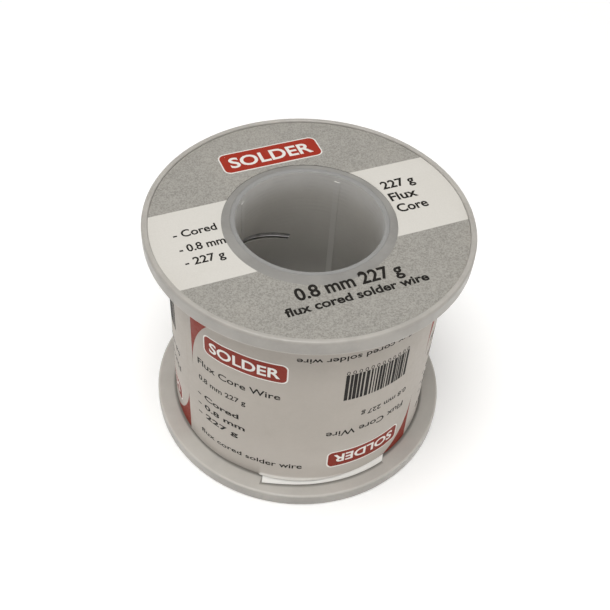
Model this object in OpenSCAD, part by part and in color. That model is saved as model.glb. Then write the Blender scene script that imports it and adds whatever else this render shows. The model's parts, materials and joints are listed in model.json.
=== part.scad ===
// Spool of flux-cored solder wire: a ribbed barrel with a flange pressed on each end, the wire wound
// between them in layers, a paper label round the winding and a label on each flange.
// Millimetres. The origin is the centre of the lower rim's resting plane, and +Z runs up the bore.

/* [Spool] */
// Outer diameter of both flanges
flange_d = 50; // [49:0.5:56]
// Height of the spool from rim to rim
spool_h = 40.5; // [34:0.5:60]
// Thickness of a flange at its rim
flange_t = 2.5; // [2.3:0.1:3.5]
// Radius of the rounded outer edges of a flange
rim_round = 0.45; // [0.2:0.05:0.5]
// Width of the raised rim round the face of a flange
rim_w = 0.95; // [0.9:0.05:1.4]

/* [Barrel] */
// Diameter of the bore that goes over a spindle
bore_d = 22.4; // [21.6:0.1:22.4]
// Diameter of the barrel's thinner ends, which the flanges are pressed onto
spigot_d = 23.9; // [23.6:0.1:24.2]
// Diameter of the barrel between the flanges, where the wire is wound
barrel_d = 26.6; // [26.6:0.1:27.4]
// Width of each rib along the bore
rib_w = 1; // [0.4:0.1:1.2]
// Height of each rib over the bore's wall
rib_h = 0.1; // [0.1:0.05:0.2]

/* [Wire] */
// Diameter of the solder wire
wire_d = 0.8; // [0.7:0.05:0.8]
// Diameter over the finished winding
winding_d = 42.9; // [42:0.1:43.2]

/* [Labels] */
// Thickness of the paper
paper_t = 0.1; // [0.08:0.01:0.12]
// Diameter of the hole in a flange's label
face_hole_d = 26.4; // [26:0.1:27]
// How far off centre that hole is cut
face_hole_shift = 0.64; // [0:0.02:0.8]
// Height of the label round the winding
wrap_h = 33.6; // [30:0.1:33.6]
// Height above the lower flange at which the label round the winding starts
wrap_lift = 0.1; // [0.1:0.05:0.4]
// How far the end of the label laps over its start
wrap_lap = 21; // [10:1:40]

/* [Hidden] */
$fn = 96;
layer_count = 12;
flange_r = flange_d / 2;
bore_r = bore_d / 2;
spigot_r = spigot_d / 2;
barrel_r = barrel_d / 2;
winding_r = winding_d / 2;
wire_r = wire_d / 2;
wind_low = flange_t;
wind_high = spool_h - flange_t;
layer_t = (winding_r - barrel_r) / layer_count;

// Flange: inside the rim its face is flat, and the label lies on it a little below the rim.
label_drop = 0.36;
floor_drop = label_drop + paper_t;
recess_r = flange_r - rim_w;
seat_gap = 0.02;
inner_round = 0.35;
rim_in_round = 0.25;

// Barrel: its ends stand a hair above the flanges' faces, with a rounded mouth to the bore.
end_drop = 0.44;
end_round = 0.06;
mouth_round = 0.3;
rib_count = 4;
rib_angle = 70;
rib_setback = 1.2;

// Start of the wire: it comes through the barrel's wall and lies in a slanting groove in the bore.
// Wire and groove follow one circle in a tilted plane, which hugs the bore and leaves it outwards.
start_mid = 141;
start_z = 29.05;
start_tilt = 23.5;
start_arc_r = (bore_r + wire_r) / pow(cos(start_tilt), 2);
start_from = -30.7;
start_to = 90;
groove_in = 1.2;
groove_back = 0.15;
groove_over = 0.08;
groove_under = 0.3;
groove_spare = 2;
core_r = 0.15;
core_span = 7;

// Tape that holds the wire's outer end: its foot is pressed outwards over the lower flange.
tape_from = -102.7;
tape_span = 55.5;
tape_top = 9;
tape_bend_z = 5.2;
tape_foot_r = 22.9;
tape_foot_z = flange_t + 0.12;
paper_gap = 0.01;
tape_r = winding_r + paper_gap;
wrap_r = tape_r + paper_t + 2 * paper_gap;
wrap_low = flange_t + wrap_lift;
wrap_high = wrap_low + wrap_h;
wrap_bend_z = 6.2;
wrap_foot_r = 22.4;
wrap_foot_z = 3.05;
lap_from = -143;
bend_root = 0.4;
side_gap = 0.3;
// How deep one piece of the paper runs into the next, so that they are one solid.
embed = 0.02;
bend_steps = 6;

function layer_name(i) = str("solder_layer_", i < 10 ? "0" : "", i);

// Points of an arc, for the outline of a turned shape.
function arc(x, y, r, a0, a1, steps = 6) =
    [for (i = [0 : steps]) let (a = a0 + (a1 - a0) * i / steps) [x + r * cos(a), y + r * sin(a)]];

// Points of a smooth bend from a to c that leaves a towards b.
function bend(a, b, c) =
    [for (i = [0 : bend_steps])
        let (t = i / bend_steps)
            (1 - t) * (1 - t) * a + 2 * t * (1 - t) * b + t * t * c];

function reversed(p) = [for (i = [len(p) - 1 : -1 : 0]) p[i]];

// Outline of a strip of paper that lies on the given points, thick outwards and upwards.
function strip(p, t) = concat(p, [for (q = reversed(p)) q + [t, t]]);

// A flange with its inner face on z = 0 and its label's side up.
module flange() {
    color([0.66, 0.65, 0.62])
        rotate_extrude()
            polygon(concat(
                [[spigot_r + seat_gap, 0]],
                arc(flange_r - inner_round, inner_round, inner_round, -90, 0),
                arc(flange_r - rim_round, flange_t - rim_round, rim_round, 0, 90),
                arc(recess_r + rim_in_round, flange_t - rim_in_round, rim_in_round, 90, 180),
                [[recess_r, flange_t - floor_drop], [spigot_r + seat_gap, flange_t - floor_drop]]
            ));
}

module lower_flange() {
    translate([0, 0, wind_low])
        mirror([0, 0, 1])
            flange();
}

module upper_flange() {
    translate([0, 0, wind_high])
        flange();
}

// Outline of the barrel's end from its outside over the lip into the bore, with z = 0 at the rim.
barrel_end = concat(
    arc(spigot_r - end_round, -end_drop - end_round, end_round, 0, 90),
    arc(bore_r + mouth_round, -end_drop - mouth_round, mouth_round, 90, 180)
);

module barrel_tube() {
    rotate_extrude()
        polygon(concat(
            [[spigot_r, wind_low], [barrel_r, wind_low], [barrel_r, wind_high], [spigot_r, wind_high]],
            [for (p = barrel_end) p + [0, spool_h]],
            [for (p = reversed(barrel_end)) [p[0], -p[1]]]
        ));
}

module barrel_ribs() {
    low = end_drop + rib_setback;
    for (i = [0 : rib_count - 1])
        rotate([0, 0, rib_angle + i * 360 / rib_count])
            translate([bore_r - rib_h, -rib_w / 2, low])
                cube([2 * rib_h, rib_w, spool_h - 2 * low]);
}

// Places its children in the tilted plane of the wire's start, centred on the groove's circle.
module in_start_plane() {
    rotate([0, 0, start_mid])
        translate([bore_r + wire_r - start_arc_r, 0, start_z])
            rotate([start_tilt, 0, 0])
                children();
}

module start_groove() {
    in_start_plane()
        rotate([0, 0, start_from])
            rotate_extrude(angle = start_to - start_from + groove_spare)
                translate([start_arc_r - groove_in, -wire_r - groove_under])
                    square([groove_in + wire_r + groove_back, wire_d + groove_under + groove_over]);
}

module hub_barrel() {
    color([0.58, 0.58, 0.56])
        difference() {
            union() {
                barrel_tube();
                barrel_ribs();
            }
            start_groove();
        }
}

module tube(low_r, high_r, h) {
    difference() {
        cylinder(h = h, r = high_r);
        translate([0, 0, -1])
            cylinder(h = h + 2, r = low_r);
    }
}

// One layer of the winding, as a closed sleeve from flange to flange.
module sleeve(i) {
    low_r = barrel_r + (i - 1) * layer_t;
    translate([0, 0, wind_low])
        tube(low_r, low_r + layer_t, wind_high - wind_low);
}

// The outermost layer, with the round back of each turn.
module turned_sleeve(i) {
    turns = floor((wind_high - wind_low) / wire_d);
    pitch = (wind_high - wind_low) / turns;
    low_r = barrel_r + (i - 1) * layer_t;
    backs = [
        for (k = [0 : turns - 1])
            each arc(winding_r - wire_r, wind_low + (k + 0.5) * pitch, wire_r, -75, 75, 5)
    ];
    rotate_extrude()
        polygon(concat([[low_r, wind_low]], backs, [[low_r, wind_high]]));
}

module solder_layer(i) {
    color([0.72, 0.72, 0.73])
        if (i == layer_count)
            turned_sleeve(i);
        else
            sleeve(i);
}

// A round wire along the groove's circle, from the cut end on.
module start_wire(r, span) {
    in_start_plane()
        rotate([0, 0, start_from])
            rotate_extrude(angle = span)
                translate([start_arc_r, 0])
                    circle(r = r);
}

module solder_start_tail() {
    color([0.72, 0.72, 0.73])
        difference() {
            start_wire(wire_r, start_to - start_from);
            start_wire(core_r, core_span);
        }
}

module solder_start_core() {
    color([0.80, 0.66, 0.36])
        start_wire(core_r, core_span);
}

module end_tape() {
    path = concat(
        [[tape_r, tape_top]],
        bend([tape_r, tape_bend_z], [tape_r, tape_foot_z], [tape_foot_r, tape_foot_z])
    );
    color([0.94, 0.94, 0.92])
        rotate([0, 0, tape_from])
            rotate_extrude(angle = tape_span)
                polygon(strip(path, paper_t));
}

// The label lies on the winding, laps over its own start, and bulges out over the tape's foot.
module wrap_label() {
    root = [wrap_r + embed, wrap_bend_z + bend_root];
    foot = bend([root[0], wrap_bend_z], [root[0], wrap_foot_z + 1], [wrap_foot_r, wrap_foot_z]);
    color([0.86, 0.85, 0.82]) {
        difference() {
            translate([0, 0, wrap_low])
                tube(wrap_r, wrap_r + paper_t, wrap_h);
            rotate([0, 0, tape_from])
                rotate_extrude(angle = tape_span)
                    translate([wrap_r - 1, 0])
                        square([2, wrap_bend_z]);
        }
        rotate([0, 0, tape_from + side_gap])
            rotate_extrude(angle = tape_span - 2 * side_gap)
                polygon(strip(concat([root], foot), paper_t - 2 * embed));
        rotate([0, 0, lap_from])
            rotate_extrude(angle = wrap_lap)
                translate([wrap_r + paper_t - embed, wrap_low + embed])
                    square([paper_t, wrap_h - 2 * embed]);
    }
}

// A paper ring on the floor of a flange's face. The hole is cut off centre.
module face_label() {
    spare = 0.1;
    translate([0, 0, -floor_drop])
        difference() {
            cylinder(h = paper_t, r = recess_r - spare);
            translate([0, -face_hole_shift, -1])
                cylinder(h = 2, r = face_hole_d / 2);
        }
}

module upper_label() {
    color([0.64, 0.63, 0.61])
        translate([0, 0, spool_h])
            face_label();
}

module lower_label() {
    color([0.64, 0.63, 0.61])
        mirror([0, 0, 1])
            face_label();
}

hub_barrel();
lower_flange();
upper_flange();
for (i = [1 : layer_count])
    solder_layer(i);
solder_start_tail();
solder_start_core();
end_tape();
wrap_label();
upper_label();
lower_label();
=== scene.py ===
import json
import math
import random

import bmesh
import bpy
from mathutils import Matrix, Vector, noise


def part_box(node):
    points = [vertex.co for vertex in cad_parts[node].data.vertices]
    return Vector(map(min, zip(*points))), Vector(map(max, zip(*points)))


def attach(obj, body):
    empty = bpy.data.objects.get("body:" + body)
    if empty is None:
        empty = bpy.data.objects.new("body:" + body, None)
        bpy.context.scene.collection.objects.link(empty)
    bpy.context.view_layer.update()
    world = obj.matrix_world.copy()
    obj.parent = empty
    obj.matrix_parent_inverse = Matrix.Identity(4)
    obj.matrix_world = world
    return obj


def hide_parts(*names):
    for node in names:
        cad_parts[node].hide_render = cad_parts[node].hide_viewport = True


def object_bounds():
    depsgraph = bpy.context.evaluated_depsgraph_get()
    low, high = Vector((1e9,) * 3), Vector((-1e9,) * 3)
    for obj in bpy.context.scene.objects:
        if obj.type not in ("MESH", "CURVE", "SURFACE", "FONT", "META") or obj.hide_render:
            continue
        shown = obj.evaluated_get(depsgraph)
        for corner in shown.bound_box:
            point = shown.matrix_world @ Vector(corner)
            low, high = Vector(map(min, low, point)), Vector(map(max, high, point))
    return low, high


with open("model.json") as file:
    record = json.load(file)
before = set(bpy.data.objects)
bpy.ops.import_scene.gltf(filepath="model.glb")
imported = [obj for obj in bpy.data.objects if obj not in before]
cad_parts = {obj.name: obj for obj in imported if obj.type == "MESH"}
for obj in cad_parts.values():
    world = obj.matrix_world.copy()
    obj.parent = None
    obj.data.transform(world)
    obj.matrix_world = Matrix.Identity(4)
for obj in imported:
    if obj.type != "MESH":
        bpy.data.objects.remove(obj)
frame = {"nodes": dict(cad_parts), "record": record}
cad_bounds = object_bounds()
nodes = frame["nodes"]

MM = 0.001
TURN = 2 * math.pi


# ---------------------------------------------------------------- sizes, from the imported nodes

def radius_of(node):
    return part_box(node)[1].x


spool_high = cad_bounds[1].z
flange_r = radius_of("upper_flange")
wind_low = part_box("lower_flange")[1].z
wind_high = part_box("upper_flange")[0].z
winding_r = radius_of("solder_layer_12")
face_label_r = radius_of("upper_label") + 0.06 * MM
face_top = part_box("upper_label")[1].z
face_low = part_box("lower_label")[0].z
label_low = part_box("wrap_label")[0].z
label_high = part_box("wrap_label")[1].z
bore = next(mount for mount in frame["record"]["mounts"] if mount["kind"] == "bore")
bore_r = bore["dims"]["r_mm"] * MM
bore_half = bore["dims"]["length_mm"] * MM / 2

PAPER_T = face_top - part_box("upper_label")[0].z
WIRE_R = 0.4 * MM
INNER_LAYERS = 11
# Radii of the tape's back on the winding, and of the label's back over the tape.
TAPE_R = winding_r + 0.01 * MM
LABEL_R = TAPE_R + PAPER_T + 0.02 * MM

# The hole in a flange's label is cut off centre, and is a little longer than it is wide.
FACE_HOLE_R = 13.2 * MM
FACE_HOLE_LONG = 13.34 * MM
FACE_HOLE_SHIFT = 0.64 * MM

# The white band across a flange's label, and the direction in which its print runs.
BAND_TURN = math.radians(25.4)
BAND_LOW = -8.01 * MM
BAND_HIGH = 7.89 * MM

# The label round the winding starts at its visible edge and ends under its own start. Past the lap
# it comes down to the winding over the ramp.
LAP_FROM = math.radians(-143)
LAP = math.radians(21)
LAP_RAMP = math.radians(7)
LAP_GAP = 0.015 * MM
LAP_EDGE_LIFT = 0.05 * MM
# Between its ends it bulges by up to twice this much.
WRAP_BULGE = 0.035 * MM
# Rough radius of the winding and length of the tape, in millimetres, for reading noise.
NOISE_MM = 21

# Tape that holds the wire's outer end, with its foot over the lower flange.
TAPE_FROM = math.radians(-102.4)
TAPE_SPAN = math.radians(57)
TAPE_TOP = 9 * MM
TAPE_BEND = 3.8 * MM
TAPE_FOOT = wind_low + 0.12 * MM
# Its foot reaches out to this radius, and further towards its left end.
TAPE_REACH = 22.6 * MM
TAPE_REACH_LEFT = 0.7 * MM
TAPE_REACH_FADE = 5.0
# Both ends are cut askew: how far the foot's corners are turned from the top's.
TAPE_ASKEW_LEFT = math.radians(0.9)
TAPE_ASKEW_RIGHT = math.radians(-3.2)
# Share of the tape's rows that lie flat on the winding, above its bend.
TAPE_FLAT = 0.4

# Over the tape's foot, the label leaves the winding at this height and ends at that one. Its edge
# slopes outwards as if it came from the winding, a lip's height over its end.
WRAP_BEND = 6.2 * MM
WRAP_FOOT = 3.15 * MM
WRAP_LIP = 0.4 * MM
# Its edge stands out to the left radius up to the first of these angles past the tape's left end,
# and to the right one from the second on.
WRAP_FOOT_LEFT = 22.25 * MM
WRAP_FOOT_RIGHT = 21.8 * MM
WRAP_FOOT_FROM = math.radians(12)
WRAP_FOOT_TO = math.radians(52)
# The edge rises between these angles past the tape's left end, and falls between those past its right.
WRAP_RISE = (math.radians(-2.5), math.radians(-0.3))
WRAP_FALL = (math.radians(-1.2), math.radians(1.5))
# Away from the tape the edge stands off by this much.
WRAP_STAND_OFF = 0.05 * MM

# Print starts just under the paper's face. Its coats end this far over it.
INK_UNDER = -0.03 * MM
INK_COATS = [0.012 * MM, 0.022 * MM, 0.032 * MM]
INK_GRID = 0.6 * MM


# ---------------------------------------------------------------- helpers

def smooth(low, high, x):
    """0 below low, 1 above high, and a smooth step between them."""
    t = min(max((x - low) / (high - low), 0.0), 1.0)
    return t * t * (3 - 2 * t)


def mix(a, b, t):
    return a + (b - a) * t


def polar(r, angle, z):
    return Vector((r * math.cos(angle), r * math.sin(angle), z))


def ripple(x, y, size, seed):
    """Smooth noise from about -1 to 1, whose bumps are about size across."""
    return noise.noise(Vector((x / size, y / size, seed * 7.3)))


def finish_mesh(bm, name, sharp_deg=40, faces_out=False):
    """faces_out says that all faces already point outwards."""
    if not faces_out:
        bmesh.ops.recalc_face_normals(bm, faces=bm.faces[:])
    mesh = bpy.data.meshes.new(name)
    bm.to_mesh(mesh)
    bm.free()
    mesh.shade_smooth()
    mesh.set_sharp_from_angle(angle=math.radians(sharp_deg))
    return mesh


def add_piece(name, mesh, material, stands_for=()):
    """Links a mesh as a piece of the spool, which has one body."""
    mesh.materials.append(material)
    piece = bpy.data.objects.new(name, mesh)
    bpy.context.scene.collection.objects.link(piece)
    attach(piece, "root")
    if stands_for:
        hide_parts(*stands_for)


def sheet_mesh(name, columns, rows, point, closed=False):
    """A closed sheet with thickness. point(u, v, side) gives a place, with u and v from 0 to 1 and
    side 0 or 1 for its back and its front. A closed sheet joins its last column to its first."""
    bm = bmesh.new()
    across = columns if closed else columns + 1
    grid = [
        [[bm.verts.new(point(i / columns, j / rows, side)) for j in range(rows + 1)] for i in range(across)]
        for side in (0, 1)
    ]
    for i in range(columns):
        k = (i + 1) % across
        for j in range(rows):
            for side in (0, 1):
                g = grid[side]
                bm.faces.new((g[i][j], g[k][j], g[k][j + 1], g[i][j + 1]))
        for j in (0, rows):
            bm.faces.new((grid[0][i][j], grid[0][k][j], grid[1][k][j], grid[1][i][j]))
    if not closed:
        for i in (0, columns):
            for j in range(rows):
                bm.faces.new((grid[0][i][j], grid[0][i][j + 1], grid[1][i][j + 1], grid[1][i][j]))
    return finish_mesh(bm, name)


# ---------------------------------------------------------------- materials

class Nodes:
    """A short way to write a material's nodes. Textures read object coordinates, in metres."""

    def __init__(self, name):
        self.material = bpy.data.materials.new(name)
        self.material.use_nodes = True
        self.tree = self.material.node_tree
        self.shader = self.tree.nodes["Principled BSDF"]
        self.place = self.add("ShaderNodeTexCoord").outputs["Object"]
        self.part = {}

    def add(self, kind, **settings):
        node = self.tree.nodes.new(kind)
        for key, value in settings.items():
            setattr(node, key, value)
        return node

    def link(self, source, target):
        self.tree.links.new(source, target)

    def feed(self, socket, value):
        """Links a socket, or sets a constant."""
        if isinstance(value, bpy.types.NodeSocket):
            self.link(value, socket)
        else:
            socket.default_value = value

    def math(self, operation, a, b=0.0, c=0.0):
        node = self.add("ShaderNodeMath", operation=operation)
        for socket, value in zip(node.inputs, (a, b, c)):
            self.feed(socket, value)
        return node.outputs[0]

    def axis(self, letter):
        if not self.part:
            split = self.add("ShaderNodeSeparateXYZ")
            self.link(self.place, split.inputs[0])
            self.part = {c: split.outputs[c] for c in "XYZ"}
        return self.part[letter]

    def noise(self, size, detail=3.0, roughness=0.55, stretch=(1, 1, 1), offset=0.0):
        """Noise from 0 to 1 whose bumps are about size across, in metres, stretched along the axes."""
        mapping = self.add("ShaderNodeMapping")
        self.link(self.place, mapping.inputs["Vector"])
        mapping.inputs["Scale"].default_value = [1 / (size * s) for s in stretch]
        mapping.inputs["Location"].default_value = (offset, offset, offset)
        node = self.add("ShaderNodeTexNoise")
        self.link(mapping.outputs[0], node.inputs["Vector"])
        node.inputs["Scale"].default_value = 1.0
        node.inputs["Detail"].default_value = detail
        node.inputs["Roughness"].default_value = roughness
        return node.outputs["Fac"]

    def cells(self, size):
        """Distance to the nearest of many scattered points about size apart."""
        node = self.add("ShaderNodeTexVoronoi")
        self.link(self.place, node.inputs["Vector"])
        node.inputs["Scale"].default_value = 1 / size
        return node.outputs["Distance"]

    def span(self, value, low, high, to_low=0.0, to_high=1.0, kind="SMOOTHSTEP"):
        """Maps low..high to to_low..to_high, and holds at the ends."""
        node = self.add("ShaderNodeMapRange", interpolation_type=kind)
        for socket, given in zip(node.inputs, (value, low, high, to_low, to_high)):
            self.feed(socket, given)
        return node.outputs[0]

    def blend(self, share, a, b, kind="MIX"):
        """Colour a where share is 0, b where it is 1."""
        node = self.add("ShaderNodeMix", data_type="RGBA", blend_type=kind)
        self.feed(node.inputs["Factor"], share)
        for socket, value in zip((node.inputs[6], node.inputs[7]), (a, b)):
            self.feed(socket, value if isinstance(value, bpy.types.NodeSocket) else (*value, 1.0))
        return node.outputs[2]

    def around(self):
        """Angle round the spool's axis, in radians."""
        return self.math("ARCTAN2", self.axis("Y"), self.axis("X"))

    def out_from_axis(self):
        square = self.math("MULTIPLY", self.axis("X"), self.axis("X"))
        both = self.math("MULTIPLY_ADD", self.axis("Y"), self.axis("Y"), square)
        return self.math("SQRT", both)

    def bump(self, *coats):
        """Stacks bumps, each a height from 0 to 1 and its depth in metres."""
        normal = None
        for height, depth in coats:
            node = self.add("ShaderNodeBump")
            node.inputs["Strength"].default_value = 1.0
            node.inputs["Distance"].default_value = depth
            self.link(height, node.inputs["Height"])
            if normal:
                self.link(normal, node.inputs["Normal"])
            normal = node.outputs["Normal"]
        self.link(normal, self.shader.inputs["Normal"])

    def surface(self, color, roughness, **constants):
        self.feed(self.shader.inputs["Base Color"], color)
        self.feed(self.shader.inputs["Roughness"], roughness)
        for name, value in constants.items():
            self.shader.inputs[name.replace("_", " ")].default_value = value
        return self.material


def milky_plastic(name, light, dark, offset):
    """Satin translucent moulding, cloudy inside and finely scuffed outside: its nodes, colour and
    roughness."""
    n = Nodes(name)
    cloud = n.noise(6 * MM, 3, 0.5, offset=offset)
    fleck = n.noise(0.5 * MM, 2, 0.6, offset=offset + 3)
    color = n.blend(n.span(cloud, 0.32, 0.68), dark, light)
    color = n.blend(n.span(fleck, 0.35, 0.75, 0.0, 0.08), color, (0.60, 0.58, 0.54))
    # Flow marks run round the moulding.
    ring = n.math("MULTIPLY", n.out_from_axis(), 1 / (1.6 * MM))
    turned = n.add("ShaderNodeCombineXYZ")
    n.link(ring, turned.inputs[0])
    n.link(n.math("MULTIPLY", n.around(), 1.3), turned.inputs[1])
    flow = n.add("ShaderNodeTexNoise")
    n.link(turned.outputs[0], flow.inputs["Vector"])
    flow.inputs["Scale"].default_value = 1.0
    flow.inputs["Detail"].default_value = 3.0
    color = n.blend(n.span(flow.outputs["Fac"], 0.45, 0.8, 0.0, 0.18), color, dark)
    rough = n.span(n.noise(1.8 * MM, 4, 0.6, offset=offset + 5), 0.3, 0.7, 0.28, 0.43)
    scratch = n.noise(0.12 * MM, 2, 0.7, stretch=(9, 9, 1), offset=offset)
    n.bump((n.noise(0.7 * MM, 3, 0.6), 0.006 * MM), (scratch, 0.002 * MM))
    return n, color, rough


def flange_plastic():
    n, color, rough = milky_plastic("flange_plastic", (0.455, 0.434, 0.402), (0.388, 0.370, 0.343), 1.0)
    out = n.out_from_axis()
    off_middle = n.math("ABSOLUTE", n.math("SUBTRACT", n.axis("Z"), spool_high / 2))
    half_wind = (wind_high - wind_low) / 2
    # Rims rub on benches and other spools, so their flat tops are paler, in patches; the same pale patches
    # also stand as a painted highlight along the rims' tops.
    top = n.span(off_middle, spool_high / 2 - 0.08 * MM, spool_high / 2 - 0.01 * MM)
    wear_and_highlight_patches = n.span(n.noise(1.1 * MM, 4, 0.7, offset=9), 0.3, 0.7, 0.6, 1.0)
    color = n.blend(n.math("MULTIPLY", top, n.math("MULTIPLY", wear_and_highlight_patches, 0.14)), color, (0.80, 0.775, 0.73))
    # Painted light: the faces towards the winding are paler, as if lit through the translucent flange, and
    # a painted highlight makes them palest along their outer corners.
    inside = n.span(off_middle, half_wind + 0.05 * MM, half_wind + 0.4 * MM, 1.0, 0.0)
    inner_glow_and_highlight = n.span(out, flange_r - 0.4 * MM, flange_r - 0.22 * MM, 0.22, 0.40)
    color = n.blend(n.math("MULTIPLY", inside, inner_glow_and_highlight), color, (0.90, 0.87, 0.82))
    # Fingers have greyed the rims' sides.
    handled = n.span(out, flange_r - 0.35 * MM, flange_r - 0.1 * MM)
    color = n.blend(handled, color, n.blend(1.0, color, (0.86, 0.855, 0.85), "MULTIPLY"))
    # Painted contact shade darkens the corner by the winding, and a line along the tape's foot.
    corner = n.span(out, winding_r + 0.5 * MM, winding_r + 0.95 * MM, 0.75, 0.0)
    along = n.math("DIVIDE", n.math("SUBTRACT", n.around(), TAPE_FROM), TAPE_SPAN)
    fade = n.math("EXPONENT", n.math("MULTIPLY", along, -TAPE_REACH_FADE))
    past_foot = n.math("SUBTRACT", out, n.math("MULTIPLY_ADD", fade, TAPE_REACH_LEFT, TAPE_REACH))
    shade_by_foot = n.span(past_foot, 0.15 * MM, 0.55 * MM, 0.6, 0.0)
    foot_end = 1 + TAPE_ASKEW_RIGHT / TAPE_SPAN
    on_tape = n.math("MULTIPLY", n.math("GREATER_THAN", along, 0.0), n.math("LESS_THAN", along, foot_end))
    contact_shade = n.math("MAXIMUM", corner, n.math("MULTIPLY", shade_by_foot, on_tape))
    color = n.blend(n.math("MULTIPLY", inside, contact_shade), color, (0.13, 0.12, 0.105))
    # Painted shade: the ring round the bore is darker, as nothing bright lies behind it.
    ring = n.span(out, 14.0 * MM, 15.5 * MM, 1.0, 0.0)
    color = n.blend(ring, color, n.blend(1.0, color, (0.74, 0.755, 0.775), "MULTIPLY"))
    material = n.surface(
        color, rough, Subsurface_Weight=0.2, Subsurface_Scale=0.5 * MM, IOR=1.49, Specular_IOR_Level=0.45
    )
    n.shader.inputs["Subsurface Radius"].default_value = (1.0, 0.9, 0.8)
    return material


def barrel_plastic():
    n, color, rough = milky_plastic("barrel_plastic", (0.766, 0.753, 0.727), (0.724, 0.710, 0.684), 4.0)
    # Light comes through the ends, and the wound wire backs the rest, so that is darker.
    height = n.axis("Z")
    off_middle = n.math("ABSOLUTE", n.math("SUBTRACT", height, spool_high / 2))
    half_wind = (wind_high - wind_low) / 2
    lit = n.span(off_middle, half_wind - 3.2 * MM, half_wind + 0.8 * MM)
    color = n.blend(lit, n.blend(1.0, color, (0.87, 0.86, 0.84), "MULTIPLY"), color)
    # No light comes through the middle of the winding.
    deep = n.span(off_middle, 0.0, 16 * MM, 0.62, 0.0)
    color = n.blend(deep, color, (0.10, 0.095, 0.085))
    # The wire's turns print through faintly.
    turns = n.math("SINE", n.math("MULTIPLY", height, TURN / (2 * WIRE_R)))
    shade = n.math("MULTIPLY", n.span(turns, -1, 1), n.span(n.noise(3 * MM, 3), 0.4, 0.7, 0.0, 0.10))
    color = n.blend(shade, color, (0.34, 0.335, 0.325))
    # The ribs are solid plastic, so they are paler than the wall between them.
    rib = n.span(n.out_from_axis(), bore_r - 0.08 * MM, bore_r - 0.03 * MM, 0.25, 0.0)
    color = n.blend(rib, color, (0.70, 0.69, 0.67))
    # Painted shade: the lip round the bore's mouth is darker, as the dark bore lies behind it.
    lip = n.span(off_middle, bore_half - 0.1 * MM, bore_half + 0.25 * MM)
    color = n.blend(lip, color, n.blend(1.0, color, (0.425, 0.430, 0.438), "MULTIPLY"))
    rough = n.math("MAXIMUM", rough, n.math("MULTIPLY", lip, 0.6))
    material = n.surface(
        color, rough, Subsurface_Weight=0.2, Subsurface_Scale=0.7 * MM, IOR=1.49, Specular_IOR_Level=0.3
    )
    n.shader.inputs["Subsurface Radius"].default_value = (1.0, 0.95, 0.9)
    return material


def solder_metal():
    """Dull drawn tin-lead wire: streaked along its length, with oxide patches."""
    n = Nodes("solder_metal")
    streak = n.noise(0.09 * MM, 3, 0.6, stretch=(14, 14, 1))
    patch = n.noise(2.2 * MM, 4, 0.6, offset=2)
    color = n.blend(n.span(patch, 0.35, 0.7), (0.60, 0.60, 0.62), (0.44, 0.44, 0.455))
    color = n.blend(n.span(streak, 0.4, 0.8, 0.0, 0.35), color, (0.74, 0.74, 0.75))
    rough = n.span(patch, 0.3, 0.7, 0.34, 0.52)
    n.bump((streak, 0.006 * MM))
    return n.surface(color, rough, Metallic=0.92)


def flux_resin():
    """Amber rosin at the wire's cut end."""
    n = Nodes("flux_resin")
    color = n.blend(n.noise(0.08 * MM, 3), (0.58, 0.36, 0.10), (0.72, 0.52, 0.22))
    n.bump((n.noise(0.05 * MM, 3), 0.01 * MM))
    return n.surface(color, n.span(n.noise(0.1 * MM, 2), 0.3, 0.7, 0.15, 0.3), IOR=1.53)


def paper(n, color, fibre=0.12):
    """Adds fibres, a slow change of tone and a little tooth to a paper colour."""
    fine = n.noise(0.22 * MM, 4, 0.65, stretch=(2.2, 1, 1))
    slow = n.noise(9 * MM, 2, 0.5, offset=6)
    color = n.blend(n.span(fine, 0.35, 0.75, 0.0, fibre), color, (0.50, 0.47, 0.42))
    color = n.blend(n.span(slow, 0.4, 0.7, 0.0, 0.10), color, (0.56, 0.515, 0.45))
    n.bump((fine, 0.004 * MM), (n.noise(2.5 * MM, 3, 0.5, offset=8), 0.012 * MM))
    return color


def tape_paper():
    n = Nodes("tape_paper")
    color = paper(n, (0.93, 0.92, 0.89), 0.03)
    return n.surface(color, n.span(n.noise(1 * MM, 3), 0.3, 0.7, 0.45, 0.6), Specular_IOR_Level=0.4)


def wrap_paper():
    n = Nodes("wrap_paper")
    # Handling has left a few patches greyer.
    soiled = n.math("MULTIPLY", n.span(n.noise(4 * MM, 4, 0.6, offset=3), 0.48, 0.75), 0.22)
    color = n.blend(soiled, (0.434, 0.395, 0.351), (0.360, 0.321, 0.278))
    height = n.axis("Z")
    # Painted light: the lower part is paler, as if lit by light thrown back from the flange and floor.
    paler = n.span(height, label_low + 2 * MM, label_low + 13 * MM, 0.21, 0.0)
    color = n.blend(paler, color, (0.72, 0.68, 0.64))
    # Painted shadow: the paper is darker under the upper flange's overhang.
    painted_flange_shadow = n.span(height, label_high - 10 * MM, label_high - 1.5 * MM, 0.0, 0.42)
    color = n.blend(painted_flange_shadow, color, (0.30, 0.27, 0.238))
    # The lowest 1.4 mm of the paper are a little greyer.
    edge = n.span(height, label_low, label_low + 1.4 * MM, 0.16, 0.0)
    color = n.blend(edge, color, (0.40, 0.37, 0.33))
    # Where the lower edge bends out over the tape, its fold is rubbed white, and painted paler still as a
    # highlight where it turns up to the light.
    crease_rub_and_highlight = n.span(n.out_from_axis(), WRAP_FOOT_LEFT - 0.27 * MM, WRAP_FOOT_LEFT - 0.13 * MM, 0.0, 0.62)
    color = n.blend(crease_rub_and_highlight, color, (0.84, 0.82, 0.78))
    color = paper(n, color)
    return n.surface(color, n.span(n.noise(0.8 * MM, 3), 0.3, 0.7, 0.46, 0.6), Specular_IOR_Level=0.4)


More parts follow.
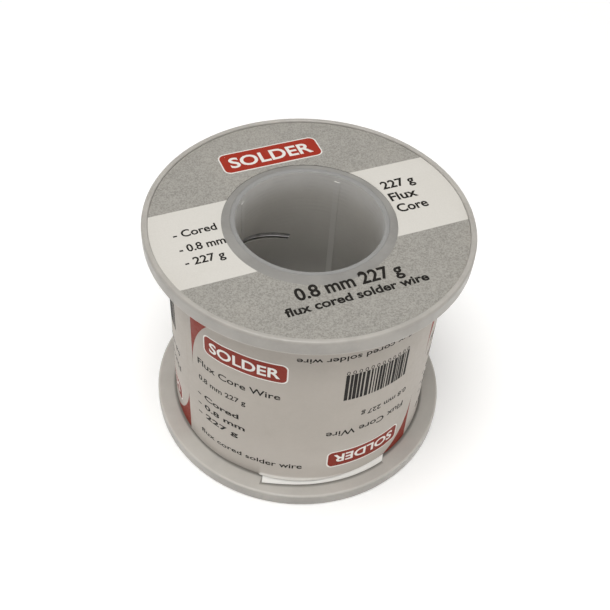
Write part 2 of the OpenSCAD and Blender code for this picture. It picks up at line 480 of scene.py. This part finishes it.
def face_paper():
    """Silver-grey speckled label with a white band across it."""
    n = Nodes("face_paper")
    grain = n.noise(0.25 * MM, 3, 0.75)
    speck = n.span(n.cells(0.5 * MM), 0.08, 0.4, 1.0, 0.0)
    silver = n.blend(n.span(grain, 0.36, 0.64), (0.252, 0.242, 0.221), (0.418, 0.403, 0.370))
    silver = n.blend(n.math("MULTIPLY", speck, 0.35), silver, (0.40, 0.385, 0.352))
    blotch = n.span(n.noise(1.3 * MM, 3, 0.6, offset=15), 0.38, 0.68, 0.0, 0.22)
    silver = n.blend(blotch, silver, (0.415, 0.40, 0.367))
    smudge = n.span(n.noise(3.2 * MM, 4, 0.6, offset=12), 0.55, 0.78, 0.0, 0.30)
    silver = n.blend(smudge, silver, (0.225, 0.218, 0.203))
    white = n.blend(n.span(grain, 0.3, 0.7, 0.0, 0.22), (0.715, 0.693, 0.648), (0.58, 0.56, 0.515))
    along = n.math("MULTIPLY", n.axis("X"), -math.sin(BAND_TURN))
    across = n.math("MULTIPLY_ADD", n.axis("Y"), math.cos(BAND_TURN), along)
    soft = 0.03 * MM
    upper = n.span(across, BAND_HIGH - soft, BAND_HIGH + soft, 1.0, 0.0)
    lower = n.span(across, BAND_LOW - soft, BAND_LOW + soft)
    band = n.math("MULTIPLY", upper, lower)
    color = paper(n, n.blend(band, silver, white), 0.03)
    rough = n.span(grain, 0.3, 0.7, 0.42, 0.58)
    return n.surface(color, rough, Specular_IOR_Level=0.4)


INK_GLOSS = 0.15


def ink(name, color, fade):
    """Printed ink: slightly mottled where the paper's tooth shows through, and worn in places."""
    n = Nodes(name)
    mottle = n.span(n.noise(0.14 * MM, 3, 0.7), 0.5, 0.8, 0.0, 0.25)
    wear = n.span(n.noise(2.2 * MM, 3, 0.6, offset=5), 0.5, 0.75, 0.0, 0.18)
    shown = n.blend(mottle, color, fade)
    shown = n.blend(wear, shown, fade)
    n.bump((n.noise(0.2 * MM, 3), 0.003 * MM))
    return n, shown


def ink_rough(n, rough):
    return n.span(n.noise(0.6 * MM, 2), 0.3, 0.7, rough, rough + 0.14)


def plain_ink(name, color, fade, rough=0.42, gloss=INK_GLOSS):
    n, shown = ink(name, color, fade)
    return n.surface(shown, ink_rough(n, rough), Specular_IOR_Level=gloss)


def corner_ink():
    """Red that darkens towards the corner's tips, near the label's middle height."""
    n, shown = ink("corner_ink", (0.245, 0.030, 0.017), (0.345, 0.097, 0.066))
    middle = 17.7 * MM
    away = n.math("ABSOLUTE", n.math("SUBTRACT", n.axis("Z"), middle))
    dark = n.span(away, 3.5 * MM, 8.5 * MM, 0.92, 0.0)
    shown = n.blend(dark, shown, (0.028, 0.022, 0.020))
    return n.surface(shown, ink_rough(n, 0.4), Specular_IOR_Level=INK_GLOSS)


FLANGE = flange_plastic()
BARREL = barrel_plastic()
SOLDER = solder_metal()
FLUX = flux_resin()
TAPE = tape_paper()
WRAP = wrap_paper()
FACE = face_paper()
INK_BLACK = plain_ink("ink_black", (0.016, 0.014, 0.012), (0.07, 0.065, 0.058), 0.5)
INK_RED = plain_ink("ink_red", (0.355, 0.033, 0.018), (0.43, 0.095, 0.064))
INK_DULL_RED = plain_ink("ink_dull_red", (0.240, 0.027, 0.015), (0.335, 0.092, 0.062))
INK_WHITE = plain_ink("ink_white", (0.80, 0.78, 0.74), (0.66, 0.60, 0.56), gloss=0.5)
INK_CORNER = corner_ink()


# ---------------------------------------------------------------- CAD nodes with new materials

def dress(node, material):
    mesh = nodes[node].data
    mesh.materials.clear()
    mesh.materials.append(material)


dress("hub_barrel", BARREL)
dress("lower_flange", FLANGE)
dress("upper_flange", FLANGE)
dress("solder_start_tail", SOLDER)
dress("solder_start_core", FLUX)
for layer in range(1, INNER_LAYERS + 1):
    dress(f"solder_layer_{layer:02d}", SOLDER)


# ---------------------------------------------------------------- outermost layer of the wire

def winding_mesh():
    """One wire wound as a helix from flange to flange. Its upper end sinks into the layer below."""
    turns = 44
    steps = 112
    sides = 12
    sink_turns = 0.12
    centre_r = winding_r - WIRE_R
    first = TAPE_FROM + TAPE_SPAN / 2
    rise = (wind_high - wind_low - 2 * WIRE_R) / (turns - 1)
    count = (turns - 1) * steps
    bm = bmesh.new()
    rings = []
    for i in range(count + 1):
        turn = i / steps
        angle = first + turn * TURN
        sink = smooth(turns - 1 - sink_turns, turns - 1, turn) * 2 * WIRE_R
        # No turn lies quite true.
        slack = 0.012 * MM * math.sin(turn * 2.7) + 0.01 * MM * math.sin(angle * 3 + turn)
        middle = polar(centre_r - sink - abs(slack), angle, wind_low + WIRE_R + turn * rise)
        outward = polar(1, angle, 0)
        ring = []
        for k in range(sides):
            a = TURN * k / sides
            offset = WIRE_R * (outward * math.cos(a) + Vector((0, 0, math.sin(a))))
            ring.append(bm.verts.new(middle + offset))
        rings.append(ring)
    for a, b in zip(rings, rings[1:]):
        for k in range(sides):
            m = (k + 1) % sides
            bm.faces.new((a[k], a[m], b[m], b[k]))
    bm.faces.new(rings[0])
    bm.faces.new(rings[-1])
    return finish_mesh(bm, "winding")


add_piece("outer_winding", winding_mesh(), SOLDER, ["solder_layer_12"])


# ---------------------------------------------------------------- tape at the wire's end

def tape_foot_r(share):
    """How far the tape's foot reaches over the flange: furthest at its left end."""
    return TAPE_REACH + TAPE_REACH_LEFT * math.exp(-TAPE_REACH_FADE * share)


def tape_point(u, v, side):
    """v runs down the winding, round the bend and out over the flange."""
    bent = max((v - TAPE_FLAT) / (1 - TAPE_FLAT), 0.0)
    angle = TAPE_FROM + TAPE_SPAN * u + mix(TAPE_ASKEW_LEFT, TAPE_ASKEW_RIGHT, u) * bent * bent
    r = mix(TAPE_R, tape_foot_r(u), bent * bent)
    if bent:
        z = mix(TAPE_FOOT, TAPE_BEND, (1 - bent) ** 2)
    else:
        z = mix(TAPE_TOP, TAPE_BEND, v / TAPE_FLAT)
    slope = bent * math.pi / 2
    lift = 0.03 * MM * (1 + ripple(u * NOISE_MM, 0, 3, 4)) * bent * bent
    return polar(r + side * PAPER_T * math.cos(slope), angle, z + lift + side * PAPER_T * math.sin(slope))


add_piece("end_tape_sheet", sheet_mesh("end_tape", 120, 30, tape_point), TAPE, ["end_tape"])


# ---------------------------------------------------------------- label round the winding

def past_tape_start(angle):
    """Angle from the tape's left end, from about minus half a turn to half a turn."""
    a = (angle - TAPE_FROM) % TURN
    return a - TURN if a > math.pi + TAPE_SPAN / 2 else a


def flare(a):
    """1 where the label's lower edge stands out over the tape's foot, a being the angle past its start."""
    rise = smooth(*WRAP_RISE, a)
    fall = smooth(*WRAP_FALL, a - TAPE_SPAN)
    return rise * (1 - fall)


def wrap_place(s, height, lift):
    """A point on the label round the winding. s is the angle along it from its visible edge, and
    height is measured on the paper."""
    angle = LAP_FROM + s
    over = 1 - smooth(LAP, LAP + LAP_RAMP, s)
    edge = math.exp(-s / math.radians(1.0)) * LAP_EDGE_LIFT
    uneven = ripple(NOISE_MM * math.cos(angle), NOISE_MM * math.sin(angle) + height / MM, 9, 1)
    bulge = WRAP_BULGE * (1 + uneven)
    bulge *= smooth(0, math.radians(8), s) * (1 - smooth(TURN - math.radians(6), TURN, s))
    r = LABEL_R + over * (PAPER_T + LAP_GAP) + edge + bulge
    if height >= WRAP_BEND:
        return polar(r + lift, angle, height)
    a = past_tape_start(angle)
    low = (WRAP_BEND - height) / (WRAP_BEND - label_low)
    # Away from the tape the edge only stands off a little. Over the tape it follows a curve outwards.
    plain_r = r + WRAP_STAND_OFF * smooth(0.45, 1.0, low) ** 2
    foot_r = mix(WRAP_FOOT_LEFT, WRAP_FOOT_RIGHT, smooth(WRAP_FOOT_FROM, WRAP_FOOT_TO, a))
    foot_r += 0.04 * MM * ripple(angle * NOISE_MM, 0, 5, 2)
    bent_r = mix(r, foot_r, low * low)
    lip_z = WRAP_FOOT + WRAP_LIP
    bent_z = mix(mix(WRAP_BEND, lip_z, low), mix(lip_z, WRAP_FOOT, low), low)
    out = flare(a)
    return polar(mix(plain_r, bent_r, out) + lift, angle, mix(height, bent_z, out))


def wrap_point(u, v, side):
    """The rows lie closer together low down, where the edge bends."""
    return wrap_place(u * (TURN + LAP), mix(label_low, label_high, v ** 1.6), side * PAPER_T)


wrap_mesh = sheet_mesh("wrap_label", 720, 60, wrap_point)
add_piece("wrap_label_sheet", wrap_mesh, WRAP, ["wrap_label"])


# ---------------------------------------------------------------- labels on the flanges

DENT_HIGH = 0.10 * MM
WRINKLE_HIGH = 0.012 * MM
HOLE_EDGE_LIFT = 0.03 * MM


def face_height(x, y, seed):
    """How far a flange's label stands off its seat: small dents, wrinkles and a lifted hole edge."""
    dent = max(ripple(x, y, 4.2 * MM, seed) - 0.18, 0.0) * DENT_HIGH
    wrinkle = max(0.0, 1 - abs(ripple(x, y, 7 * MM, seed + 2)) * 16) * WRINKLE_HIGH
    to_hole = math.hypot(x, (y + FACE_HOLE_SHIFT) * FACE_HOLE_R / FACE_HOLE_LONG) - FACE_HOLE_R
    edge = math.exp(-to_hole / (0.5 * MM)) * HOLE_EDGE_LIFT * (1 + ripple(x, y, 5 * MM, seed + 4))
    return dent + wrinkle + edge


def upper_face_place(x, y, lift):
    return Vector((x, y, face_top + face_height(x, y, 3) + lift))


def lower_face_place(x, y, lift):
    return Vector((x, y, face_low - face_height(x, y, 8) - lift))


def face_mesh(name, place):
    def point(u, v, side):
        angle = u * TURN
        hole = Vector((FACE_HOLE_R * math.cos(angle), FACE_HOLE_LONG * math.sin(angle) - FACE_HOLE_SHIFT))
        rim = face_label_r * Vector((math.cos(angle), math.sin(angle)))
        spot = hole.lerp(rim, v)
        return place(spot.x, spot.y, (side - 1) * PAPER_T)

    return sheet_mesh(name, 300, 44, point, closed=True)


for label, face_place in (("upper_label", upper_face_place), ("lower_label", lower_face_place)):
    add_piece(label + "_sheet", face_mesh(label, face_place), FACE, [label])


# ---------------------------------------------------------------- print

def cut(bm, step):
    """Cuts a flat shape along a square grid, so that it can bend with the paper."""
    for axis in (0, 1):
        values = [v.co[axis] for v in bm.verts]
        line = math.floor(min(values) / step) + 1
        while line * step < max(values):
            normal = Vector((1 - axis, axis, 0))
            everything = bm.verts[:] + bm.edges[:] + bm.faces[:]
            bmesh.ops.bisect_plane(
                bm, geom=everything, dist=1e-9, plane_co=normal * line * step, plane_no=normal
            )
            line += 1


def words_shape(words, width, height, bold=0.0):
    """Letters as a solid from z = 0 to 1, from x = 0 to width, with capitals of the given height."""
    curve = bpy.data.curves.new("words", "FONT")
    curve.body = words
    curve.extrude = 0.5
    curve.offset = bold
    curve.resolution_u = 4
    holder = bpy.data.objects.new("words", curve)
    bpy.context.scene.collection.objects.link(holder)
    bpy.context.view_layer.update()
    mesh = bpy.data.meshes.new_from_object(holder.evaluated_get(bpy.context.evaluated_depsgraph_get()))
    bpy.data.objects.remove(holder)
    bm = bmesh.new()
    bm.from_mesh(mesh)
    bpy.data.meshes.remove(mesh)
    bmesh.ops.remove_doubles(bm, verts=bm.verts[:], dist=1e-5)
    left = min(v.co.x for v in bm.verts)
    right = max(v.co.x for v in bm.verts)
    top = max(v.co.y for v in bm.verts)
    for v in bm.verts:
        v.co.x = (v.co.x - left) * width / (right - left)
        v.co.y *= height / top
        v.co.z += 0.5
    return bm


def outline_shape(points):
    """A flat outline as a solid from z = 0 to 1."""
    bm = bmesh.new()
    low = [bm.verts.new((x, y, 0)) for x, y in points]
    high = [bm.verts.new((x, y, 1)) for x, y in points]
    bm.faces.new(low[::-1])
    bm.faces.new(high)
    for i in range(len(points)):
        k = (i + 1) % len(points)
        bm.faces.new((low[i], low[k], high[k], high[i]))
    bmesh.ops.triangulate(bm, faces=[f for f in bm.faces if len(f.verts) > 4])
    return bm


def rounded_bar(width, height, corner):
    """Outline of a bar from (0, 0) with round corners."""
    points = []
    for cx, cy, start in (
        (width - corner, corner, -90),
        (width - corner, height - corner, 0),
        (corner, height - corner, 90),
        (corner, corner, 180),
    ):
        for k in range(9):
            a = math.radians(start + 90 * k / 8)
            points.append((cx + corner * math.cos(a), cy + corner * math.sin(a)))
    return points


class Print:
    """Collects the shapes of one ink on one label, then bends them onto it."""

    def __init__(self, name, material, coat):
        self.name = name
        self.material = material
        self.coat = coat
        self.bm = bmesh.new()

    def add(self, shape, place, x, y, turned=False):
        """place(x, y, lift) is a point on the paper. A turned shape is upside down, from x leftwards."""
        cut(shape, INK_GRID)
        sign = -1 if turned else 1
        low, high = INK_UNDER, INK_COATS[self.coat]
        for v in shape.verts:
            v.co = place(x + sign * v.co.x, y + sign * v.co.y, mix(low, high, v.co.z))
        mesh = bpy.data.meshes.new("shape")
        shape.to_mesh(mesh)
        shape.free()
        self.bm.from_mesh(mesh)
        bpy.data.meshes.remove(mesh)

    def done(self, slot):
        mesh = finish_mesh(self.bm, self.name, 30, faces_out=True)
        add_piece(self.name, mesh, self.material)


def print_badge(prints, place, x, y, width, height, turned=False):
    """A red bar with a thin white border and a plain word in it."""
    border = 0.22 * MM
    sign = -1 if turned else 1
    white = outline_shape(rounded_bar(width, height, height * 0.24))
    prints["edge"].add(white, place, x, y, turned)
    red = outline_shape(rounded_bar(width - 2 * border, height - 2 * border, height * 0.2))
    prints["red"].add(red, place, x + sign * border, y + sign * border, turned)
    side = width * 0.085
    word = words_shape("SOLDER", width - 2 * side, height * 0.5, 0.022)
    prints["word"].add(word, place, x + sign * side, y + sign * height * 0.25, turned)


def badge_prints(name, red):
    return {
        "edge": Print(name + "_badge_border", INK_WHITE, 0),
        "red": Print(name + "_badge", red, 1),
        "word": Print(name + "_badge_word", INK_WHITE, 2),
    }


# Print on a flange's label, in millimetres along and across its band: words, start, baseline, width,
# height and boldness. The badge has its left, low edge, width and height.
FACE_LINES = [
    ("227 g", 13.4, 2.45, 5.6, 1.8, 0.024),
    ("Flux", 13.4, -0.5, 4.6, 1.8, 0.024),
    ("Core", 13.4, -3.2, 5.1, 1.8, 0.024),
    ("- Cored", -20.4, 2.15, 6.6, 1.5, 0.02),
    ("- 0.8 mm", -20.4, -1.0, 6.9, 1.5, 0.02),
    ("- 227 g", -20.4, -3.8, 5.9, 1.5, 0.02),
    ("0.8 mm 227 g", -8.1, -15.2, 16.3, 2.3, 0.026),
    ("flux cored solder wire", -10.6, -17.5, 21.7, 1.5, 0.03),
]
FACE_BADGE = (-8.6, 13.6, 16.8, 5.0)


def print_face(name, face_place, side):
    """side is 1 for the upper label and -1 for the lower one, which reads from below."""

    def place(u, v, lift):
        x = u * math.cos(BAND_TURN) - v * math.sin(BAND_TURN)
        y = u * math.sin(BAND_TURN) + v * math.cos(BAND_TURN)
        return face_place(side * x, y, lift)

    black = Print(name + "_text", INK_BLACK, 0)
    for words, u, v, width, height, bold in FACE_LINES:
        black.add(words_shape(words, width * MM, height * MM, bold), place, u * MM, v * MM)
    black.done("face_paper")
    badge = badge_prints(name, INK_RED)
    print_badge(badge, place, *[q * MM for q in FACE_BADGE])
    for part in badge.values():
        part.done("face_paper")


print_face("upper_label", upper_face_place, 1)
print_face("lower_label", lower_face_place, -1)

# The print round the winding repeats in units. Millimetres from a unit's left side and over the
# bench: words, start, baseline, width, height, boldness, and whether it stands on its head.
UNIT_STARTS = [math.radians(a) for a in (-138.3, -25.2, 109.0)]
UNIT_W = 40.6
WRAP_LINES = [
    ("Flux Core Wire", 1.4, 23.35, 14.5, 1.35, 0.014, False),
    ("0.8 mm 227 g", 1.5, 19.6, 9.0, 1.15, 0.016, False),
    ("- Cored", 1.0, 15.4, 8.3, 1.15, 0.026, False),
    ("- 0.8 mm", 1.0, 12.9, 9.4, 1.15, 0.026, False),
    ("- 227 g", 1.0, 10.5, 8.2, 1.15, 0.026, False),
    ("flux cored solder wire", 1.5, 5.85, 18.4, 1.05, 0.014, False),
    ("flux cored solder wire", 36.3, 33.3, 18.4, 1.05, 0.014, True),
    ("0.8 mm 227 g", 37.6, 18.9, 9.0, 1.1, 0.016, True),
    ("Flux Core Wire", 37.6, 15.3, 14.4, 1.35, 0.014, True),
    ("0 0 0 0 0 0 0 0 0 0 0 0", 36.3, 29.75, 11.0, 0.8, 0.0, True),
]
# Badges have their left, low edge, width and height, and so has the block of bars. Corners have their
# width and height.
WRAP_BADGES = [(3.0, 27.3, 13.9, 4.2, False), (37.3, 9.7, 13.5, 4.1, True)]
BARS = (25.3, 23.0, 11.1, 5.9)
CORNER_TOP = (9.4, 14.5)
CORNER_LOW = (7.65, 11.1)
# Corners end this far from the label's edges.
CORNER_INSET = 0.02 * MM


def unit_place(start):
    """Places print on the label from a unit's left side, over the lap's outer paper where they meet."""
    radius = LABEL_R + PAPER_T

    def place(x, height, lift):
        s = (start + x / radius - LAP_FROM) % TURN
        return wrap_place(s, height, PAPER_T + lift)

    return place


def corner_shape(width, height):
    """A corner with a hollow curve between its two tips, from (0, 0) to the right and down."""
    steps = 24
    curve = []
    for k in range(steps + 1):
        a = math.radians(90 * k / steps)
        curve.append((width * (1 - math.sin(a)), -height * (1 - math.cos(a))))
    return outline_shape([(0, 0)] + curve[::-1])


def print_bars(black, place):
    """Bars of random widths, which carry no code."""
    left, low, width, height = [q * MM for q in BARS]
    dice = random.Random(12)
    x = 0.0
    while x < width - 0.3 * MM:
        bar = dice.choice((0.2, 0.3, 0.42, 0.55)) * MM
        bar = min(bar, width - x)
        black.add(outline_shape([(0, 0), (bar, 0), (bar, height), (0, height)]), place, left + x, low)
        x += bar + dice.choice((0.12, 0.18, 0.24)) * MM


def print_wrap():
    black = Print("wrap_label_text", INK_BLACK, 0)
    corners = Print("wrap_label_corners", INK_CORNER, 0)
    badge = badge_prints("wrap_label", INK_DULL_RED)
    for start in UNIT_STARTS:
        place = unit_place(start)
        for words, x, z, width, height, bold, turned in WRAP_LINES:
            black.add(words_shape(words, width * MM, height * MM, bold), place, x * MM, z * MM, turned)
        print_bars(black, place)
        for x, z, width, height, turned in WRAP_BADGES:
            print_badge(badge, place, *[q * MM for q in (x, z, width, height)], turned)
        top = corner_shape(*[q * MM for q in CORNER_TOP])
        corners.add(top, place, 0, label_high - CORNER_INSET)
        low = corner_shape(*[q * MM for q in CORNER_LOW])
        corners.add(low, place, UNIT_W * MM, label_low + CORNER_INSET, True)
    black.done("wrap_paper")
    corners.done("wrap_paper")
    for part in badge.values():
        part.done("wrap_paper")


print_wrap()


# ---------------------------------------------------------------- stage, light and camera

def stage():
    """A pale floor that curves up into a round wall, so that no view has a horizon."""
    n = Nodes("floor_white")
    white = n.blend(n.noise(0.05, 2), (0.94, 0.94, 0.94), (0.96, 0.96, 0.96))
    # The lamps don't reach far, so further out the floor and the wall glow instead.
    near_glow = 0.16
    far_glow = 0.70
    far = n.span(n.out_from_axis(), 0.35, 1.2)
    white = n.blend(far, white, (0.15, 0.15, 0.15))
    n.surface(white, 0.9, Emission_Color=(1, 1, 1, 1))
    n.link(n.span(far, 0.0, 1.0, near_glow, far_glow, "LINEAR"), n.shader.inputs["Emission Strength"])
    floor_r = 1.6
    bend_r = 0.3
    wall_high = 0.75
    around = 96
    profile = [(floor_r * k / 8, 0.0) for k in range(1, 8)]
    for k in range(13):
        a = math.radians(90 * k / 12)
        profile.append((floor_r + bend_r * math.sin(a), bend_r * (1 - math.cos(a))))
    profile.append((floor_r + bend_r, wall_high))
    bm = bmesh.new()
    rings = [[bm.verts.new(polar(r, TURN * i / around, z)) for i in range(around)] for r, z in profile]
    bm.faces.new(rings[0])
    for low, high in zip(rings, rings[1:]):
        for i in range(around):
            k = (i + 1) % around
            bm.faces.new((low[i], low[k], high[k], high[i]))
    mesh = finish_mesh(bm, "floor")
    mesh.materials.append(n.material)
    floor = bpy.data.objects.new("floor", mesh)
    bpy.context.scene.collection.objects.link(floor)


def softbox(name, place, size, watts, color):
    light = bpy.data.lights.new(name, "AREA")
    light.shape = "DISK"
    light.size = size
    light.energy = watts
    light.color = color
    holder = bpy.data.objects.new(name, light)
    holder.location = place
    target = Vector((0, 0, spool_high / 2))
    holder.rotation_euler = (target - holder.location).to_track_quat("-Z", "Y").to_euler()
    bpy.context.scene.collection.objects.link(holder)


def lights():
    world = bpy.data.worlds.new("pale_room")
    world.use_nodes = True
    world.node_tree.nodes["Background"].inputs["Color"].default_value = (1.0, 0.985, 0.965, 1)
    world.node_tree.nodes["Background"].inputs["Strength"].default_value = 0.02
    bpy.context.scene.world = world
    softbox("overhead", (-0.09, -0.22, 1.12), 0.80, 11.0, (1.0, 0.99, 0.97))
    softbox("overhead_back", (-0.10, 0.25, 1.10), 0.80, 1.2, (1.0, 0.99, 0.97))
    softbox("left", (-0.62, -0.05, 0.16), 0.40, 0.20, (1.0, 0.99, 0.98))
    softbox("right", (0.60, -0.12, 0.16), 0.40, 0.50, (1.0, 0.98, 0.95))
    bpy.context.scene.view_settings.view_transform = "Standard"


def camera():
    """The spool seen from the front and above, with a slight roll. Distances in flange radii."""
    elevation = math.radians(46.90)
    roll = 0.0748
    distance = 5.9397
    aside = -0.0098
    up_shift = -0.0226
    back = Vector((0, -math.cos(elevation), math.sin(elevation)))
    right = Vector((1, 0, 0))
    up = Vector((0, math.sin(elevation), math.cos(elevation)))
    x = math.cos(roll) * right + math.sin(roll) * up
    y = math.cos(roll) * up - math.sin(roll) * right
    data = bpy.data.cameras.new("camera")
    data.lens = 52.906
    data.sensor_width = 36
    data.clip_start = 0.005
    data.clip_end = 20
    holder = bpy.data.objects.new("camera", data)
    place = (back * distance - x * aside - y * up_shift) * flange_r + Vector((0, 0, spool_high / 2))
    holder.matrix_world = Matrix.Translation(place) @ Matrix((x, y, back)).transposed().to_4x4()
    bpy.context.scene.collection.objects.link(holder)
    bpy.context.scene.camera = holder


stage()
lights()
camera()
